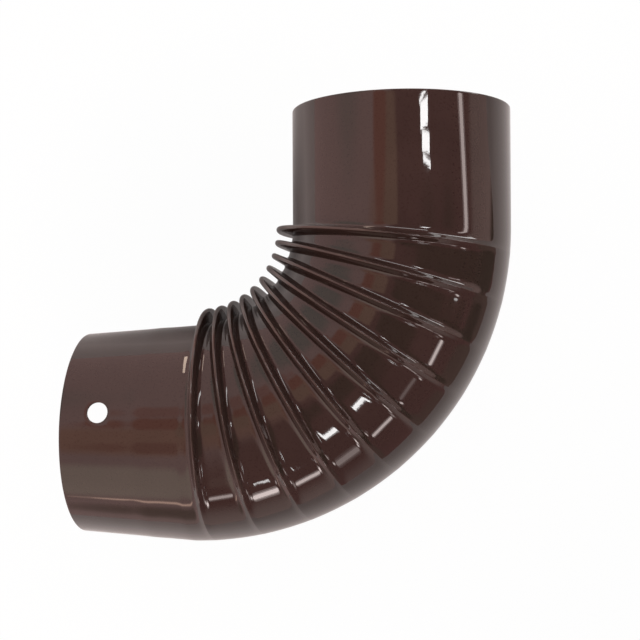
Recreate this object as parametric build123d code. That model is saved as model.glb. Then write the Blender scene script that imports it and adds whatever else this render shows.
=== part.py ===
from build123d import *
import os
from math import cos, radians, sin

# Pleated stove pipe elbow: one tube of enamelled sheet steel, turned square by a row of folds.
# Millimetres, +Z up. The elbow lies on its side, so its bend is level.
# It is worked out about the bend's centre, with the socket going off along +Y and the spigot along -X.

# Driving dimensions: the tube
pipe_radius = 60.0  # outside of the tube and of its plain socket end
wall = 0.9  # sheet steel with its enamel on both faces
socket_length = 64.0  # from the start of the bend to the socket's rim
spigot_length = 63.0  # from the end of the bend to the spigot's rim
spigot_draw = 4.6  # how much the spigot narrows, on its radius, by its rim

# Driving dimensions: the bend and its pleats
bend_radius = 113.5  # bend's centre to the tube's axis
pleat_count = 10
fold_depth = 9.35  # how far the folds stand out of the tube in the throat
fold_lean = 1.9  # degrees that a fold is turned out of its mitre plane, its tip towards the socket
slit_tip_width = 2.2  # the slit inside a fold, at its tip in the throat
slit_back_width = 3.4  # width of the same wedge at the back of the bend
fold_fade = 0.75  # how far the fold's rim has sunk under the surface at the back
slit_fade = 6.0  # the same for the slit, which closes sooner

# Driving dimensions: the hanging hole in the spigot
hole_radius = 5.4
hole_from_rim = 20.5
hole_turn = 15.0  # degrees from upright towards the throat

pleat_step = 90.0 / pleat_count  # degrees; the pleats share a quarter turn
corner_radius = bend_radius / cos(radians(pleat_step / 2))  # bend's centre to the tube's mitred corners
throat_radius = corner_radius - pipe_radius - fold_depth  # bend's centre to the fold tips
clear_of_part = 1.0  # how far a cutting shape runs past what it cuts


def pleat_turn(pleat):
    """Angle of a pleat's plane, clockwise from +X as seen from above."""
    return -(pleat + 0.5) * pleat_step


def corner(pleat):
    """Where the tube's axis turns at a pleat."""
    turn = radians(pleat_turn(pleat))
    return (corner_radius * cos(turn), corner_radius * sin(turn), 0)


def tube(inset, overrun):
    """Solid tube without folds, inset from the outside and running on past both rims."""
    socket_end = (bend_radius, socket_length + overrun, 0)
    corners = [corner(pleat) for pleat in range(pleat_count)]
    route = Polyline(socket_end, *corners, (0, -bend_radius, 0))
    mouth = Pos(*socket_end) * Rot(90, 0, 0) * Circle(pipe_radius - inset)
    bend = sweep(mouth, path=route, transition=Transition.RIGHT)
    length = spigot_length + overrun
    rim_radius = pipe_radius - inset - spigot_draw * length / spigot_length
    spigot = Pos(0, -bend_radius, 0) * Rot(0, -90, 0) * Cone(
        pipe_radius - inset, rim_radius, length, align=(Align.CENTER, Align.CENTER, Align.MIN)
    )
    return bend + spigot


def fold(pleat, inset, fade):
    """One fold: a round set off towards the throat, cut to a wedge that thins towards its tip, and leaning."""
    tip = throat_radius + inset
    back = corner_radius + pipe_radius - inset - fade
    tip_half = slit_tip_width / 2 + wall - inset
    back_half = slit_back_width / 2 + wall - inset
    across = back - tip
    plan = Polygon((tip, -tip_half), (back, -back_half), (back, back_half), (tip, tip_half), align=None)
    wedge = extrude(plan, across, both=True)
    disc = Cylinder(across / 2, 2 * (back_half + clear_of_part))
    disc = Pos((tip + back) / 2, 0, 0) * Rot(90, 0, 0) * disc
    turn = Rot(0, 0, pleat_turn(pleat) - fold_lean)
    return Pos(*corner(pleat)) * turn * Pos(-corner_radius, 0, 0) * (wedge & disc)


def folded_tube(inset, overrun, fade):
    """Tube with all its folds, as one solid."""
    folds = [fold(pleat, inset, fade) for pleat in range(pleat_count)]
    return tube(inset, overrun).fuse(*folds)


def hanging_hole():
    """Drill for the hole in the spigot's upper wall, square to the tube's axis."""
    drill = Cylinder(hole_radius, 2 * pipe_radius, align=(Align.CENTER, Align.CENTER, Align.MIN))
    return Pos(hole_from_rim - spigot_length, -bend_radius, 0) * Rot(-hole_turn, 0, 0) * drill


outside = folded_tube(0, 0, fold_fade)
bore = folded_tube(wall, clear_of_part, slit_fade)
elbow = outside - bore - hanging_hole()

# The elbow rests on its lowest folds, with its box centred over the origin
box = elbow.bounding_box()
elbow = Pos(-box.center().X, -box.center().Y, -box.min.Z) * elbow

os.makedirs("parts", exist_ok=True)
export_step(elbow, "parts/pleated_elbow.step")
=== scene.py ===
from math import cos, pi, radians, sin, tan

import bpy
import numpy as np
from mathutils import Euler, Matrix, Vector


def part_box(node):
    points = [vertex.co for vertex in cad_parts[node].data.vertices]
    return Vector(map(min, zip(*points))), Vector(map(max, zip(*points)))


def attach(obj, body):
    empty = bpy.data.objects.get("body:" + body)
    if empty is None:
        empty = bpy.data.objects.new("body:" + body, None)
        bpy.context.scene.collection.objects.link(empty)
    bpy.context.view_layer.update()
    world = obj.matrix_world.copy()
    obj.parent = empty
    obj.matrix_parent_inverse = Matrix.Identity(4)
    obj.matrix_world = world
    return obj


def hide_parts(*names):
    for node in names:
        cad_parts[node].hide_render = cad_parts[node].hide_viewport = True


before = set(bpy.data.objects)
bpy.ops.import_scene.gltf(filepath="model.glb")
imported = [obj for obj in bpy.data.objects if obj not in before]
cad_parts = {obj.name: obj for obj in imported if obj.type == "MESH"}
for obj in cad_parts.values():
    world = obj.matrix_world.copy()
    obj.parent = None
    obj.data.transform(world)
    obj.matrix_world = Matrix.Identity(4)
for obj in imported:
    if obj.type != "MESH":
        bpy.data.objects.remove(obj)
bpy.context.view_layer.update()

# Pleated stove pipe elbow in glossy brown enamel, lying on white paper.
# Named lengths are in millimetres and named angles in degrees, unless a line says otherwise.
MM = 0.001
NODE = "pleated_elbow"

# Sizes that the solid has
PIPE_RADIUS = 60.0
WALL = 0.9
SOCKET_LENGTH = 64.0
SPIGOT_LENGTH = 63.0
SPIGOT_DRAW = 4.6
BEND_RADIUS = 113.5
PLEAT_COUNT = 10
FOLD_DEPTH = 9.35
FOLD_LEAN = 1.9
SLIT_TIP_WIDTH = 2.2
SLIT_BACK_WIDTH = 3.4
SLIT_FADE = 6.0
HOLE_RADIUS = 5.4
HOLE_FROM_RIM = 20.5
HOLE_TURN = 15.0

HALF_STEP = radians(90.0 / PLEAT_COUNT / 2)
CORNER_RADIUS = BEND_RADIUS / cos(HALF_STEP)
THROAT_RADIUS = CORNER_RADIUS - PIPE_RADIUS - FOLD_DEPTH

# Roundings that the sheet takes in folding
CREST_RADIUS_SIDE = 0.5  # round of a fold's crest at the back and sides
CREST_RADIUS_THROAT = 1.7
CREST_RADIUS_LEAST = 0.15  # round of the crest on the inside, where the wall takes up the rest
FOOT_SPREAD = 0.6  # how much wider a fold's foot gets, on each side, by the back
FOOT_SLANT = 0.6  # how much wider the foot is on the spigot's side, in the throat
ROOT_UP = 1.3  # how far the root's fillet reaches up the flank
ROOT_UP_SHARE = 0.45  # but no more than this share of the flank
ROOT_OUT = 2.4  # how far the fillet reaches along the run
ROOT_OUT_SHARE = 0.75  # but no more than this share of half the run
FOLD_FADE = 0.1  # how far a crest has sunk by the back; less than the solid has, so the folds run further
FADE_EASE = 0.3  # how softly a fold dies out there
CREASE_EASE = 6.0  # half-width of the rounded crease between two straight runs, at the back
ROUND_BACK = (12.0, 45.0)  # angles off the back between which the straight runs turn into one round

# Unevenness of the sheet
WAVE = 0.05  # height of its slow waves
# Each wave: how many go round the pipe, millimetres along it that turn the wave by a radian, phase and share
WAVES = ((3, 150, 0.7, 1.0), (7, -190, 2.1, 0.6), (12, 120, 4.0, 0.35))
RING_RISE = 0.14  # a faint ring pressed out round the spigot
RING_FROM_RIM = 41.5
RING_WIDTH = 5.0

# Where the coat is thin: this far down from a crest and on folds of this height
WEAR_WIDTH = 1.2
WEAR_HEIGHT = 5.0

# Rows and columns of the skin
AROUND = 168
OUTER_ROWS = {"crest": 5, "flank": 3, "root": 6, "run": 3}
INNER_ROWS = {"crest": 2, "flank": 1, "root": 3, "run": 1}
RIM_ROWS = (0.5, 1.3, 2.6)  # distances from a rim of the rows next to it
SOCKET_ROWS = 12
SPIGOT_ROWS = 32
LIP_ROWS = 6
HOLE_PATCH = 10  # grid cells, each way, that the hole's patch takes the place of
HOLE_RINGS = 3

# The camera, about the bend's centre
CAMERA_PLACE = (124.98, -57.47, 604.82)
CAMERA_TURN = (0.61, 5.37, -0.31)
FOCAL_PIXELS = 1089.6
PICTURE_PIXELS = 640.0
SENSOR = 36.0

# The paper's corners about the bend's centre; the right-hand side is cut back, so the gloss there is dark
PAPER = ((-620, -480), (210, -480), (285, -250), (330, -50), (440, 45), (760, 190), (760, 520), (-620, 520))

# How white the camera and the gloss see the paper, and its tones as the room lights it: painted light and
# shade
PAPER_TO_CAMERA = 0.975
PAPER_TO_GLOSS = 0.05
# Painted light on the paper: greyer away from the lit side, paler towards it
PAPER_PAINTED_LIGHT = (0.76, 0.81, 0.81, 1)
PAPER_PAINTED_SHADE = (0.44, 0.475, 0.475, 1)
PAPER_LIT_WAY = (-0.8, 0.6)  # way along the paper in which its painted light turns from grey shade to pale
PAPER_TURN = (-320.0, -100.0)  # places along that way between which it does so
# Painted shade on the paper under the elbow's throat, where its shadow falls
THROAT_SHADE = (0.30, 0.30, 0.30, 1)
THROAT_REACH = (30.0, 140.0)  # distances from the bend's centre between which the painted throat shade ends

# The enamel's tones: two of its clouds, its specks, and its thin coat on edges
ENAMEL_DARK = (0.0245, 0.0158, 0.0131, 1)
ENAMEL_PALE = (0.0312, 0.0198, 0.0166, 1)
ENAMEL_SPECK = (0.022, 0.013, 0.011, 1)
ENAMEL_THIN = (0.085, 0.055, 0.047, 1)

# The room as the gloss shows it: tilt off upright, bearing from +X, inner and outer angle, and colour
ROOM_TONE = (0.35, 0.155, 0.155)
ROOM_PATCHES = (
    (90.0, 180.0, 77.0, 86.0, (1.18, 0.80, 0.77)),  # pale wall on the left
    (60.0, 146.0, 10.0, 24.0, (0.66, 0.68, 0.63)),
    (57.0, -120.0, 12.0, 22.0, (1.62, 1.32, 1.12)),  # pale wall on the lower left
    (108.0, -85.0, 8.0, 34.0, (0.85, 0.64, 0.60)),
    (91.0, -105.0, 1.0, 12.0, (0.36, 0.30, 0.26)),
    (13.0, -45.0, 8.0, 13.0, (0.04, 0.06, 0.04)),  # dark post on the right, up to the dark camera
    (30.0, -16.0, 8.0, 18.0, (0.03, 0.05, 0.03)),
    (50.0, -6.0, 8.0, 14.0, (0.03, 0.05, 0.03)),
    (66.0, -8.0, 4.0, 12.0, (0.03, 0.05, 0.03)),
    (80.0, -8.0, 4.0, 12.0, (0.03, 0.05, 0.03)),
    (108.0, -25.0, 10.0, 20.0, (0.28, 0.20, 0.17)),
    (102.0, -3.0, 12.0, 18.0, (0.03, 0.06, 0.04)),
    (92.0, 16.0, 14.0, 20.0, (0.88, 0.62, 0.57)),
    (22.0, -165.0, 8.0, 18.0, (1.10, 0.58, 0.42)),  # brown shelf
    (24.0, -148.0, 3.0, 7.0, (0.82, 0.35, 0.26)),
    (12.0, 150.0, 6.0, 10.0, (0.95, 0.57, 0.41)),
    (31.0, 128.0, 4.0, 8.0, (1.05, 0.51, 0.45)),
    (23.0, 149.0, 4.0, 8.0, (0.90, 0.31, 0.22)),  # red card
)

# Panes of the high window on the right: place down the window, from about 0 to 1, and height in degrees
HIGH_PANES = ((-0.079, 0.28), (0.213, 1.55), (0.623, 1.153), (0.879, 0.417))
HIGH_RADIANCE = 22.0

# Lamps that the gloss shows: tilt, bearing, width, height and radiance at the middle
SMALL_LAMPS = (
    (39.0, -53.6, 0.9, 10.0, 20.0),
    (39.5, -64.1, 1.0, 11.0, 20.0),
    (56.4, -72.8, 0.3, 5.0, 12.0),
    (60.5, -84.0, 0.4, 4.0, 12.0),
    (69.8, -17.2, 0.7, 4.5, 7.0),
)
LOW_LAMPS = (
    (71.5, -28.0, 11.5, 3.4, 9.0),
    (66.0, -39.0, 8.0, 3.4, 1.4),
    (73.4, -50.0, 9.5, 3.2, 8.0),
    (75.0, -61.0, 9.0, 7.0, 2.8),
    (74.4, -72.0, 9.5, 3.8, 9.0),
    (74.6, -82.5, 10.5, 5.6, 12.0),
    (68.5, -93.0, 7.0, 3.2, 5.5),
)
# A soft edge is made of lamps one behind the other: how much each spreads, and its share of the radiance
SMALL_EDGE = ((1.4, 0.2), (1.0, 0.8))
LOW_EDGE = ((2.1, 0.14), (1.4, 0.3), (0.85, 0.56))
WARM_EDGE = ((2.0, 0.25), (1.0, 0.75))
LAMP_DISTANCE = 6000.0
LAMP_GAP = 100.0  # between the lamps of a soft edge, times their spread
SMALL_DISTANCE = 40000.0
SMALL_GAP = 500.0

# Colours of lamps
WHITE = (1.0, 1.0, 1.0)
PINK = (1.0, 0.87, 0.84)
DEEP_PINK = (1.0, 0.84, 0.81)
AMBER = (1.0, 0.78, 0.62)
ORANGE = (1.0, 0.66, 0.50)

low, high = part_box(NODE)
BEND_CENTRE = np.array([
    high.x / MM - BEND_RADIUS - PIPE_RADIUS,
    high.y / MM - SOCKET_LENGTH,
    (low.z + high.z) / 2 / MM,
])


def sheet_wave(psi, along):
    """Slow unevenness of the rolled sheet: sine waves round the pipe that drift slowly along it."""
    return WAVE * sum(
        share * np.sin(count * psi + along / drift + phase) for count, drift, phase, share in WAVES
    )


def fold_height(psi, inset, fade):
    """How far a fold's crest stands out of the pipe, for angles psi round it from the back of the bend.

    The crest is a circle in the pleat's plane, set off towards the throat. The height is measured along
    the ray from the pipe's axis: it is the root of |base + height * ray - centre| = radius, eased to
    nothing where the circle sinks into the back."""
    tip = THROAT_RADIUS + inset
    back = CORNER_RADIUS + PIPE_RADIUS - inset - fade
    radius = (back - tip) / 2
    pipe = PIPE_RADIUS - inset
    out = (BEND_RADIUS + pipe * np.cos(psi)) / cos(HALF_STEP) - (back + tip) / 2
    up = pipe * np.sin(psi)
    along = out * np.cos(psi) + up * np.sin(psi)
    height = np.sqrt(along**2 - out**2 - up**2 + radius**2) - along
    return (height + np.hypot(height, FADE_EASE)) / 2


def half_fold(psi, inset, fade, rows, side):
    """Half a fold in section, from its crest down to the straight run, on the socket's side or the spigot's.

    Gives two arrays of rows by columns: the distance from the fold's own plane and the height over the pipe.
    The crest is an arc, the flank is its straight tangent down to the foot, and the root is a parabola
    between the flank and the run."""
    height = fold_height(psi, inset, fade)
    reach = BEND_RADIUS + (PIPE_RADIUS - inset) * np.cos(psi)
    crest_reach = reach / cos(HALF_STEP) + height * np.cos(psi)
    depth_share = (crest_reach - THROAT_RADIUS) / (CORNER_RADIUS + PIPE_RADIUS - THROAT_RADIUS)
    slit = SLIT_TIP_WIDTH + (SLIT_BACK_WIDTH - SLIT_TIP_WIDTH) * depth_share
    inwards = (1 - np.cos(psi)) / 2
    foot = slit / 2 + WALL - inset + FOOT_SPREAD * (1 - inwards)**2
    foot = foot + FOOT_SLANT * inwards * (side > 0)
    crest = CREST_RADIUS_SIDE + (CREST_RADIUS_THROAT - CREST_RADIUS_SIDE) * inwards**6
    crest = np.maximum(crest - inset, CREST_RADIUS_LEAST)

    centre = height - crest
    span = np.hypot(foot, centre)
    slope = np.arctan2(foot, centre) - np.arcsin(crest / span)
    flank = np.sqrt(span**2 - crest**2)
    ease_up = np.minimum(ROOT_UP + inset / 2, ROOT_UP_SHARE * flank)
    ease_out = np.minimum(ROOT_OUT, ROOT_OUT_SHARE * (reach * sin(HALF_STEP) - foot))
    turn = np.linspace(0, 1, rows["crest"] + 1)[:, None] * (pi / 2 - slope)
    crest_part = (crest * np.sin(turn), centre + crest * np.cos(turn))
    left = np.linspace(1, 0, rows["flank"] + 1)[1:, None] * (flank - ease_up) + ease_up
    flank_part = (foot - left * np.sin(slope), left * np.cos(slope))
    share = np.linspace(0, 1, rows["root"] + 1)[1:, None]
    root_part = (
        foot + ease_out * share**2 - ease_up * (1 - share)**2 * np.sin(slope),
        ease_up * (1 - share)**2 * np.cos(slope),
    )
    parts = (crest_part, flank_part, root_part)
    return np.concatenate([part[0] for part in parts]), np.concatenate([part[1] for part in parts])


def pleats(psi, inset, fade, rows):
    """The whole bend as rows along the pipe: each fold with half a straight run on both sides of it.

    A point is base + height * ray. The base falls away from the pleat's plane as the straight runs do, with
    a rounded crease, and near the back as one round about the bend's centre. The fold leans: its distance
    from the plane grows with its distance from the pipe's axis. Gives points and how worn their edge is."""
    pipe = PIPE_RADIUS - inset
    reach = BEND_RADIUS + pipe * np.cos(psi)
    share = np.linspace(0, 1, rows["run"] + 1)[1:, None]
    sides = []
    for side in (-1, 1):
        across, height = half_fold(psi, inset, fade, rows, side)
        edge = np.clip(1 - across / WEAR_WIDTH, 0, 1) * np.clip(height / WEAR_HEIGHT, 0, 1)
        lean = tan(radians(FOLD_LEAN)) * (pipe + height) * np.cos(psi)
        fold = side * across + lean
        run = fold[-1] * (1 - share) + (side * reach * sin(HALF_STEP) + lean[-1]) * share
        flat = 0 * share * psi
        sides.append([np.concatenate(pair) for pair in ((fold, run), (height, flat), (edge, flat))])
    away, height, edge = (np.concatenate([near[::-1], far[1:]]) for near, far in zip(*sides))

    ease = CREASE_EASE * (reach / (BEND_RADIUS + PIPE_RADIUS))**2
    straight = tan(HALF_STEP) * away * np.tanh(away / ease)
    round_off = reach / cos(HALF_STEP) - np.sqrt(reach**2 - away**2)
    off_back = np.degrees(np.arccos(np.cos(psi)))
    share = np.clip((off_back - ROUND_BACK[0]) / (ROUND_BACK[1] - ROUND_BACK[0]), 0, 1)
    share = share * share * (3 - 2 * share)
    base = reach / cos(HALF_STEP) - share * straight - (1 - share) * round_off
    blocks, edges = [], []
    for pleat in range(PLEAT_COUNT):
        angle = (2 * pleat + 1) * HALF_STEP
        rise = height + sheet_wave(psi, BEND_RADIUS * (angle + away / reach))
        out = base + rise * np.cos(psi)
        x = out * cos(angle) - away * sin(angle)
        y = -out * sin(angle) - away * cos(angle)
        first = 0 if pleat == 0 else 1
        blocks.append(np.stack([x, y, (pipe + rise) * np.sin(psi)], axis=-1)[first:])
        edges.append(edge[first:])
    return np.concatenate(blocks)[:-1], np.concatenate(edges)[:-1]


def socket_leg(psi, inset, y):
    """Rows of the plain leg: circles of one radius about the pipe's axis, at the places y along it."""
    pipe = PIPE_RADIUS - inset + sheet_wave(psi, -y[:, None])
    x, z = BEND_RADIUS + pipe * np.cos(psi), pipe * np.sin(psi)
    return np.stack(np.broadcast_arrays(x, y[:, None], z), axis=-1)


def spigot_point(x, psi, inset):
    """Points of the tapered leg: the radius falls evenly from the bend to the rim, but for a faint ring."""
    radius = PIPE_RADIUS - inset + SPIGOT_DRAW * x / SPIGOT_LENGTH
    radius = radius + sheet_wave(psi, BEND_RADIUS * pi / 2 - x)
    radius = radius + RING_RISE * np.exp(-(((x + SPIGOT_LENGTH - RING_FROM_RIM) / RING_WIDTH)**2))
    return np.stack([x, -(BEND_RADIUS + radius * np.cos(psi)), radius * np.sin(psi)], axis=-1)


def spigot_leg(psi, inset, x):
    """Rows of the tapered leg at the places x along it."""
    return spigot_point(*np.broadcast_arrays(x[:, None], psi), inset)


def lip(turns):
    """A half-round edge of the sheet: how far it reaches out and how far it has gone through the wall."""
    return WALL / 2 * np.sin(turns), WALL / 2 * (1 - np.cos(turns))


def hole_patches(psi, x_rows):
    """The hole in the tapered leg: rings from the grid's square opening to a circle, outside, round the
    punched edge and inside. Gives the opening's rows and columns, its first cell, and the rings' points."""
    hole_x = HOLE_FROM_RIM - SPIGOT_LENGTH
    hole_psi = radians(90 + HOLE_TURN)
    row = int(np.argmin(abs(x_rows - hole_x))) - HOLE_PATCH // 2
    column = int(np.argmin(abs(psi - hole_psi))) - HOLE_PATCH // 2
    side = np.arange(HOLE_PATCH)
    full = np.full(HOLE_PATCH, HOLE_PATCH)
    loop_rows = row + np.concatenate([0 * side, side, full, HOLE_PATCH - side])
    loop_columns = column + np.concatenate([side, full, HOLE_PATCH - side, 0 * side])

    x = x_rows[loop_rows] - hole_x
    radius = PIPE_RADIUS + SPIGOT_DRAW * x_rows[loop_rows] / SPIGOT_LENGTH
    across = radius * np.sin(psi[loop_columns] - hole_psi)
    bearing = np.arctan2(across, x)

    def ring(ring_x, ring_across, inset):
        ring_radius = PIPE_RADIUS + SPIGOT_DRAW * (hole_x + ring_x) / SPIGOT_LENGTH
        return spigot_point(hole_x + ring_x, hole_psi + np.arcsin(ring_across / ring_radius), inset)

    edge = HOLE_RADIUS + WALL / 2
    fan = []
    for share in np.linspace(0, 1, HOLE_RINGS + 1)[1:]:
        fan_x = (1 - share) * x + share * edge * np.cos(bearing)
        fan.append((fan_x, (1 - share) * across + share * edge * np.sin(bearing)))
    outer = [ring(*place, 0.0) for place in fan]
    inner = [ring(*place, WALL) for place in fan[::-1]]
    through = []
    for turn in np.linspace(0, pi, LIP_ROWS + 1)[1:-1]:
        reach, depth = lip(turn)
        through.append(ring((edge - reach) * np.cos(bearing), (edge - reach) * np.sin(bearing), depth))
    return loop_rows, loop_columns, row, column, np.array(outer + through + inner)


def elbow_skin():
    """The whole sheet as one closed grid: down the outside, round the spigot's rim, back up the inside and
    round the socket's rim, with the hole's patch set into it. Gives points, four-cornered faces and wear."""
    psi = np.linspace(0, 2 * pi, AROUND, endpoint=False)
    near_rim = np.array(RIM_ROWS)
    y_rows = np.concatenate([
        SOCKET_LENGTH - near_rim, np.linspace(SOCKET_LENGTH - RIM_ROWS[-1], 0, SOCKET_ROWS)[1:-1],
    ])
    x_rows = np.concatenate([
        np.linspace(0, RIM_ROWS[-1] - SPIGOT_LENGTH, SPIGOT_ROWS), near_rim[-2::-1] - SPIGOT_LENGTH,
    ])
    reach, depth = lip(np.linspace(0, pi, LIP_ROWS + 1)[1:-1])

    outer_bend, outer_edge = pleats(psi, 0.0, FOLD_FADE, OUTER_ROWS)
    inner_bend, inner_edge = pleats(psi, WALL, SLIT_FADE, INNER_ROWS)
    spigot_rim = [spigot_leg(psi, d, np.array([x_rows[-1] - r])) for r, d in zip(reach, depth)]
    socket_rim = [socket_leg(psi, d, np.array([y_rows[0] + r])) for r, d in zip(reach, depth)]
    plain_socket, plain_spigot = np.zeros((len(y_rows), AROUND)), np.zeros((len(x_rows), AROUND))
    worn_rim = np.ones((len(reach), AROUND))
    bands = [socket_leg(psi, 0.0, y_rows), outer_bend, spigot_leg(psi, 0.0, x_rows)]
    bands += spigot_rim
    bands += [spigot_leg(psi, WALL, x_rows[::-1]), inner_bend[::-1], socket_leg(psi, WALL, y_rows[::-1])]
    bands += socket_rim[::-1]
    edges = [plain_socket, outer_edge, plain_spigot, worn_rim]
    edges += [plain_spigot, inner_edge[::-1], plain_socket, worn_rim]
    grid = np.concatenate(bands)
    row_count = len(grid)

    # Faces of the closed grid, without the two square openings that the hole's patch fills
    index = np.arange(row_count * AROUND).reshape(row_count, AROUND)
    next_row, next_column = np.roll(index, -1, axis=0), np.roll(index, -1, axis=1)
    corner = np.roll(next_row, -1, axis=1)
    faces = np.stack([index, next_row, corner, next_column], axis=-1)
    keep = np.ones((row_count, AROUND), bool)
    outer_start = len(y_rows) + len(outer_bend)
    inner_end = outer_start + 2 * len(x_rows) + len(spigot_rim) - 1
    loop_rows, loop_columns, row, column, rings = hole_patches(psi, x_rows)
    keep[outer_start + row:outer_start + row + HOLE_PATCH, column:column + HOLE_PATCH] = False
    inner_row = inner_end - row - HOLE_PATCH
    keep[inner_row:inner_row + HOLE_PATCH, column:column + HOLE_PATCH] = False
    outer_loop = index[outer_start + loop_rows, loop_columns]
    inner_loop = index[inner_end - loop_rows, loop_columns]
    ring_index = grid.size // 3 + np.arange(rings.size // 3).reshape(len(rings), -1)
    loops = np.concatenate([outer_loop[None], ring_index, inner_loop[None]])
    beside = np.roll(loops, -1, axis=1)
    patch = np.stack([loops[:-1], loops[1:], beside[1:], beside[:-1]], axis=-1)

    ring_edge = np.zeros(rings.shape[:2])
    ring_edge[HOLE_RINGS:-HOLE_RINGS] = 1
    points = np.concatenate([grid.reshape(-1, 3), rings.reshape(-1, 3)])
    wear = np.concatenate([np.concatenate(edges).ravel(), ring_edge.ravel()])
    return points, np.concatenate([faces[keep], patch.reshape(-1, 4)]), wear


def add_piece(name, points, faces, material, wear=None):
    """A mesh object at the origin, from points in millimetres about the bend's centre."""
    mesh = bpy.data.meshes.new(name)
    mesh.from_pydata(((points + BEND_CENTRE) * MM).tolist(), [], faces.tolist())
    mesh.polygons.foreach_set("use_smooth", np.ones(len(mesh.polygons), bool))
    mesh.materials.append(material)
    if wear is not None:
        mesh.attributes.new("wear", "FLOAT", "POINT").data.foreach_set("value", wear.astype(np.float32))
    mesh.update()
    piece = bpy.data.objects.new(name, mesh)
    bpy.context.scene.collection.objects.link(piece)
    return piece


def add_node(tree, kind, settings=None, **inputs):
    """A shader node with its settings and inputs; an input is a value or another node's output."""
    node = tree.nodes.new(kind)
    for name, value in (settings or {}).items():
        setattr(node, name, value)
    for name, value in inputs.items():
        socket = node.inputs[name.replace("_", " ")]
        if isinstance(value, bpy.types.NodeSocket):
            tree.links.new(value, socket)
        else:
            socket.default_value = value
    return node


def new_material(name):
    """An empty node material and its output node."""
    material = bpy.data.materials.new(name)
    material.use_nodes = True
    material.node_tree.nodes.clear()
    return material, material.node_tree, material.node_tree.nodes.new("ShaderNodeOutputMaterial")


def enamel():
    """Dark brown vitreous enamel: a deep gloss with a slight ripple from the firing, a faintly uneven colour,
    fine specks, and a thinner, paler coat on its edges."""
    material, tree, output = new_material("brown_enamel")
    place = add_node(tree, "ShaderNodeTexCoord").outputs["Object"]
    cloud = add_node(tree, "ShaderNodeTexNoise", Vector=place, Scale=32.0, Detail=3.0).outputs["Fac"]
    tone = add_node(tree, "ShaderNodeValToRGB", Fac=cloud)
    tone.color_ramp.elements[0].position = 0.3
    tone.color_ramp.elements[0].color = ENAMEL_DARK
    tone.color_ramp.elements[1].position = 0.7
    tone.color_ramp.elements[1].color = ENAMEL_PALE

    grain = add_node(tree, "ShaderNodeTexNoise", Vector=place, Scale=1100.0, Detail=0.0).outputs["Fac"]
    speck = add_node(tree, "ShaderNodeMapRange", Value=grain, From_Min=0.60, From_Max=0.75).outputs["Result"]
    specked = add_node(
        tree, "ShaderNodeMixRGB", Fac=speck, Color1=tone.outputs["Color"], Color2=ENAMEL_SPECK,
    )
    wear = add_node(tree, "ShaderNodeAttribute", {"attribute_name": "wear"}).outputs["Fac"]
    broken = add_node(tree, "ShaderNodeMapRange", Value=cloud, From_Min=0.35, From_Max=0.65, To_Max=0.5)
    thin = add_node(tree, "ShaderNodeMath", {"operation": "MULTIPLY"})
    tree.links.new(wear, thin.inputs[0])
    tree.links.new(broken.outputs["Result"], thin.inputs[1])
    colour = add_node(
        tree, "ShaderNodeMixRGB", Fac=thin.outputs[0], Color1=specked.outputs["Color"], Color2=ENAMEL_THIN,
    )

    gloss = add_node(tree, "ShaderNodeMapRange", Value=cloud, To_Min=0.015, To_Max=0.035).outputs["Result"]
    ripple = add_node(tree, "ShaderNodeTexNoise", Vector=place, Scale=70.0, Detail=2.0).outputs["Fac"]
    peel = add_node(tree, "ShaderNodeTexNoise", Vector=place, Scale=620.0, Detail=1.0).outputs["Fac"]
    soft = add_node(tree, "ShaderNodeBump", Strength=0.004, Distance=0.0008, Height=ripple).outputs["Normal"]
    fine = add_node(tree, "ShaderNodeBump", Strength=0.008, Distance=0.0002, Height=peel, Normal=soft)
    shader = add_node(
        tree, "ShaderNodeBsdfPrincipled", Base_Color=colour.outputs["Color"], Roughness=gloss, IOR=1.52,
        Normal=fine.outputs["Normal"],
    )
    tree.links.new(shader.outputs["BSDF"], output.inputs["Surface"])
    return material


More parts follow.
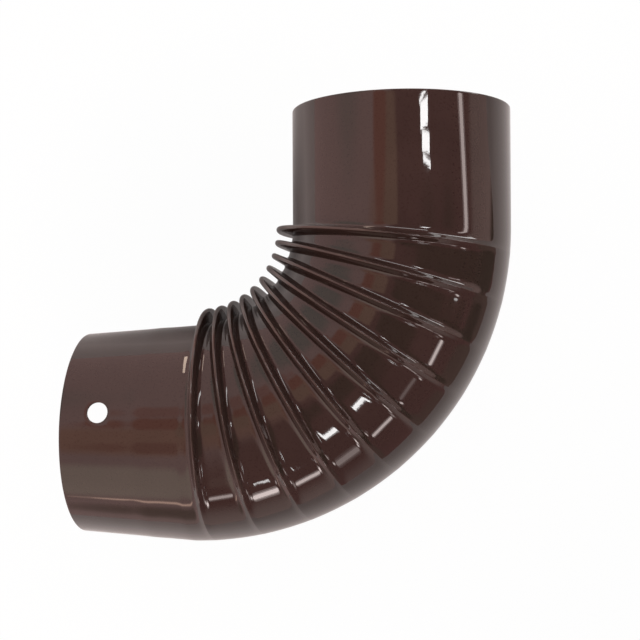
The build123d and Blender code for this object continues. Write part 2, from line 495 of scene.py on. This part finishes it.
def paper():
    """White paper: the camera sees it as white with a faint shadow, and the gloss sees it as it is lit, with
    painted shade in the throat and painted light across it.
    """
    material, tree, output = new_material("white_paper")
    rays = add_node(tree, "ShaderNodeLightPath").outputs
    in_gloss = add_node(tree, "ShaderNodeMath", {"operation": "MULTIPLY"})
    tree.links.new(rays["Is Glossy Ray"], in_gloss.inputs[0])
    in_gloss.inputs[1].default_value = PAPER_TO_GLOSS
    share = add_node(tree, "ShaderNodeMath", {"operation": "MULTIPLY_ADD"})
    tree.links.new(rays["Is Camera Ray"], share.inputs[0])
    share.inputs[1].default_value = PAPER_TO_CAMERA
    tree.links.new(in_gloss.outputs[0], share.inputs[2])
    place = add_node(tree, "ShaderNodeTexCoord").outputs["Object"]
    centre = (BEND_CENTRE[0] * MM, BEND_CENTRE[1] * MM, 0)
    # Painted shade: the paper darker near the bend's centre, under the throat
    apart = add_node(tree, "ShaderNodeVectorMath", {"operation": "DISTANCE"})
    tree.links.new(place, apart.inputs[0])
    apart.inputs[1].default_value = centre
    off_throat = add_node(
        tree, "ShaderNodeMapRange", Value=apart.outputs["Value"],
        From_Min=THROAT_REACH[0] * MM, From_Max=THROAT_REACH[1] * MM,
    )
    shade = add_node(tree, "ShaderNodeValToRGB", Fac=off_throat.outputs["Result"])
    shade.color_ramp.elements[0].color = THROAT_SHADE
    shade.color_ramp.elements[1].color = (1, 1, 1, 1)
    # Painted light: the paper greyer on one side and paler towards the lit side
    leftwards = add_node(tree, "ShaderNodeVectorMath", {"operation": "DOT_PRODUCT"})
    tree.links.new(place, leftwards.inputs[0])
    leftwards.inputs[1].default_value = (*PAPER_LIT_WAY, 0)
    at_centre = PAPER_LIT_WAY[0] * centre[0] + PAPER_LIT_WAY[1] * centre[1]
    towards_lit_side = add_node(
        tree, "ShaderNodeMapRange", Value=leftwards.outputs["Value"],
        From_Min=PAPER_TURN[0] * MM + at_centre, From_Max=PAPER_TURN[1] * MM + at_centre,
    )
    painted_light = add_node(tree, "ShaderNodeValToRGB", Fac=towards_lit_side.outputs["Result"])
    painted_light.color_ramp.elements[0].color = PAPER_PAINTED_SHADE
    painted_light.color_ramp.elements[1].color = PAPER_PAINTED_LIGHT
    shaded = add_node(
        tree, "ShaderNodeMixRGB", {"blend_type": "MULTIPLY"}, Fac=1.0, Color1=painted_light.outputs["Color"],
        Color2=shade.outputs["Color"],
    )
    lit = add_node(tree, "ShaderNodeBsdfDiffuse", Color=shaded.outputs["Color"])
    white = add_node(tree, "ShaderNodeEmission", Color=(1, 1, 1, 1), Strength=1.0)
    mix = add_node(tree, "ShaderNodeMixShader", Fac=share.outputs[0])
    tree.links.new(lit.outputs[0], mix.inputs[1])
    tree.links.new(white.outputs[0], mix.inputs[2])
    tree.links.new(mix.outputs[0], output.inputs["Surface"])
    return material


def lay_floor():
    """The sheet of paper under the elbow."""
    points = np.array([[x, y, -BEND_CENTRE[2]] for x, y in PAPER])
    floor = add_piece("paper", points, np.arange(len(PAPER))[None], paper())


def towards(tilt, bearing):
    """Unit direction at a tilt off upright and a bearing from +X."""
    tilt, bearing = radians(tilt), radians(bearing)
    return Vector((sin(tilt) * cos(bearing), sin(tilt) * sin(bearing), cos(tilt)))


def room():
    """A dim room round the paper, with paler and darker round patches on its walls, and white to the camera.

    A patch's share goes smoothly from none at its outer angle to all at its inner one."""
    world = bpy.data.worlds.new("room")
    bpy.context.scene.world = world
    world.use_nodes = True
    tree = world.node_tree
    tree.nodes.clear()
    output = tree.nodes.new("ShaderNodeOutputWorld")
    way = add_node(tree, "ShaderNodeTexCoord").outputs["Generated"]
    tone = None
    for tilt, bearing, inner, outer, colour in ROOM_PATCHES:
        near = add_node(tree, "ShaderNodeVectorMath", {"operation": "DOT_PRODUCT"})
        tree.links.new(way, near.inputs[0])
        near.inputs[1].default_value = towards(tilt, bearing)
        share = add_node(
            tree, "ShaderNodeMapRange", {"interpolation_type": "SMOOTHSTEP"}, Value=near.outputs["Value"],
            From_Min=cos(radians(outer)), From_Max=cos(radians(inner)),
        )
        under = tone.outputs["Color"] if tone else (*ROOM_TONE, 1)
        tone = add_node(
            tree, "ShaderNodeMixRGB", Fac=share.outputs["Result"], Color1=under, Color2=(*colour, 1),
        )
    dim = add_node(tree, "ShaderNodeBackground", Color=tone.outputs["Color"], Strength=1.0)
    white = add_node(tree, "ShaderNodeBackground", Color=(1, 1, 1, 1), Strength=1.0)
    rays = add_node(tree, "ShaderNodeLightPath").outputs
    mix = add_node(tree, "ShaderNodeMixShader", Fac=rays["Is Camera Ray"])
    tree.links.new(dim.outputs[0], mix.inputs[1])
    tree.links.new(white.outputs[0], mix.inputs[2])
    tree.links.new(mix.outputs[0], output.inputs["Surface"])


def add_lamp(name, tilt, bearing, size, radiance, colour=WHITE, roll=0.0, distance=LAMP_DISTANCE, oval=False):
    """A flat lamp, square-cornered or oval, facing the bend's centre from a tilt off upright and a bearing.

    Its size is two angles as the elbow sees it, across and along its bearing, and its power is what gives
    its face the stated radiance."""
    way = towards(tilt, bearing)
    width, height = (2 * distance * MM * tan(radians(angle / 2)) for angle in size)
    data = bpy.data.lights.new(name, "AREA")
    data.shape = "ELLIPSE" if oval else "RECTANGLE"
    data.size, data.size_y = width, height
    data.energy = radiance * pi * width * height * (pi / 4 if oval else 1)
    data.color = colour
    lamp = bpy.data.objects.new(name, data)
    bpy.context.scene.collection.objects.link(lamp)
    turn = way.to_track_quat("Z", "Y") @ Euler((0, 0, radians(roll))).to_quaternion()
    place = Vector(BEND_CENTRE * MM) + way * distance * MM
    lamp.matrix_world = Matrix.Translation(place) @ turn.to_matrix().to_4x4()
    lamp.visible_camera = False
    return lamp


def light_up():
    """A broad soft lamp overhead, which the gloss doesn't show, and the windows that it does."""
    add_lamp("overhead", 12.0, 60.0, (70.0, 70.0), 1.15).visible_glossy = False
    for place, height in HIGH_PANES:
        tilt, bearing = 28.0 + 2.3 * place, 27.0 - 10.1 * place
        add_lamp("high_window", tilt, bearing, (height, 7.4), HIGH_RADIANCE, roll=-19.4)
    for tilt, bearing, width, height, radiance in SMALL_LAMPS:
        for spread, share in SMALL_EDGE:
            size = (spread * width, spread * height)
            away = SMALL_DISTANCE + SMALL_GAP * spread
            add_lamp("small_lamp", tilt, bearing, size, share * radiance, distance=away, oval=True)
    for tilt, bearing, width, height, radiance in LOW_LAMPS:
        for spread, share in LOW_EDGE:
            size = ((0.7 + 0.15 * spread) * width, spread * height)
            away = LAMP_DISTANCE + LAMP_GAP * spread
            add_lamp("low_lamp", tilt, bearing, size, share * radiance, PINK, distance=away, oval=True)
    for spread, share in WARM_EDGE:
        size = (12.0 + 3.0 * spread, 2.4 * spread)
        away = LAMP_DISTANCE + LAMP_GAP * spread
        add_lamp("warm_lamp", 77.0, -106.0, size, 3.6 * share, ORANGE, distance=away, oval=True)
    away = LAMP_DISTANCE + 2 * LAMP_GAP
    add_lamp("side_window", 67.0, 10.0, (14.0, 4.8), 1.6, DEEP_PINK, 39.0, away)
    add_lamp("side_window_core", 67.0, 10.0, (13.4, 2.6), 4.7, PINK, 39.0)
    add_lamp("back_window", 41.0, 74.0, (38.0, 5.5), 9.0)
    add_lamp("far_window", 86.0, 44.0, (44.0, 10.0), 7.0)
    add_lamp("left_window", 80.0, 103.5, (2.5, 22.0), 8.0, AMBER)


def set_camera():
    """The camera over the elbow, turned a little off square as in the photograph."""
    data = bpy.data.cameras.new("camera")
    data.sensor_width = SENSOR
    data.lens = FOCAL_PIXELS / PICTURE_PIXELS * SENSOR
    data.clip_end = 20.0
    camera = bpy.data.objects.new("camera", data)
    bpy.context.scene.collection.objects.link(camera)
    turn = Euler([radians(angle) for angle in CAMERA_TURN], "ZYX").to_matrix().to_4x4()
    place = Vector((BEND_CENTRE + np.array(CAMERA_PLACE)) * MM)
    camera.matrix_world = Matrix.Translation(place) @ turn
    bpy.context.scene.camera = camera


points, faces, wear = elbow_skin()
elbow = add_piece("enamelled_elbow", points, faces, enamel(), wear)
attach(elbow, "root")
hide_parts(NODE)
lay_floor()
room()
light_up()
set_camera()
bpy.context.scene.view_settings.view_transform = "Standard"
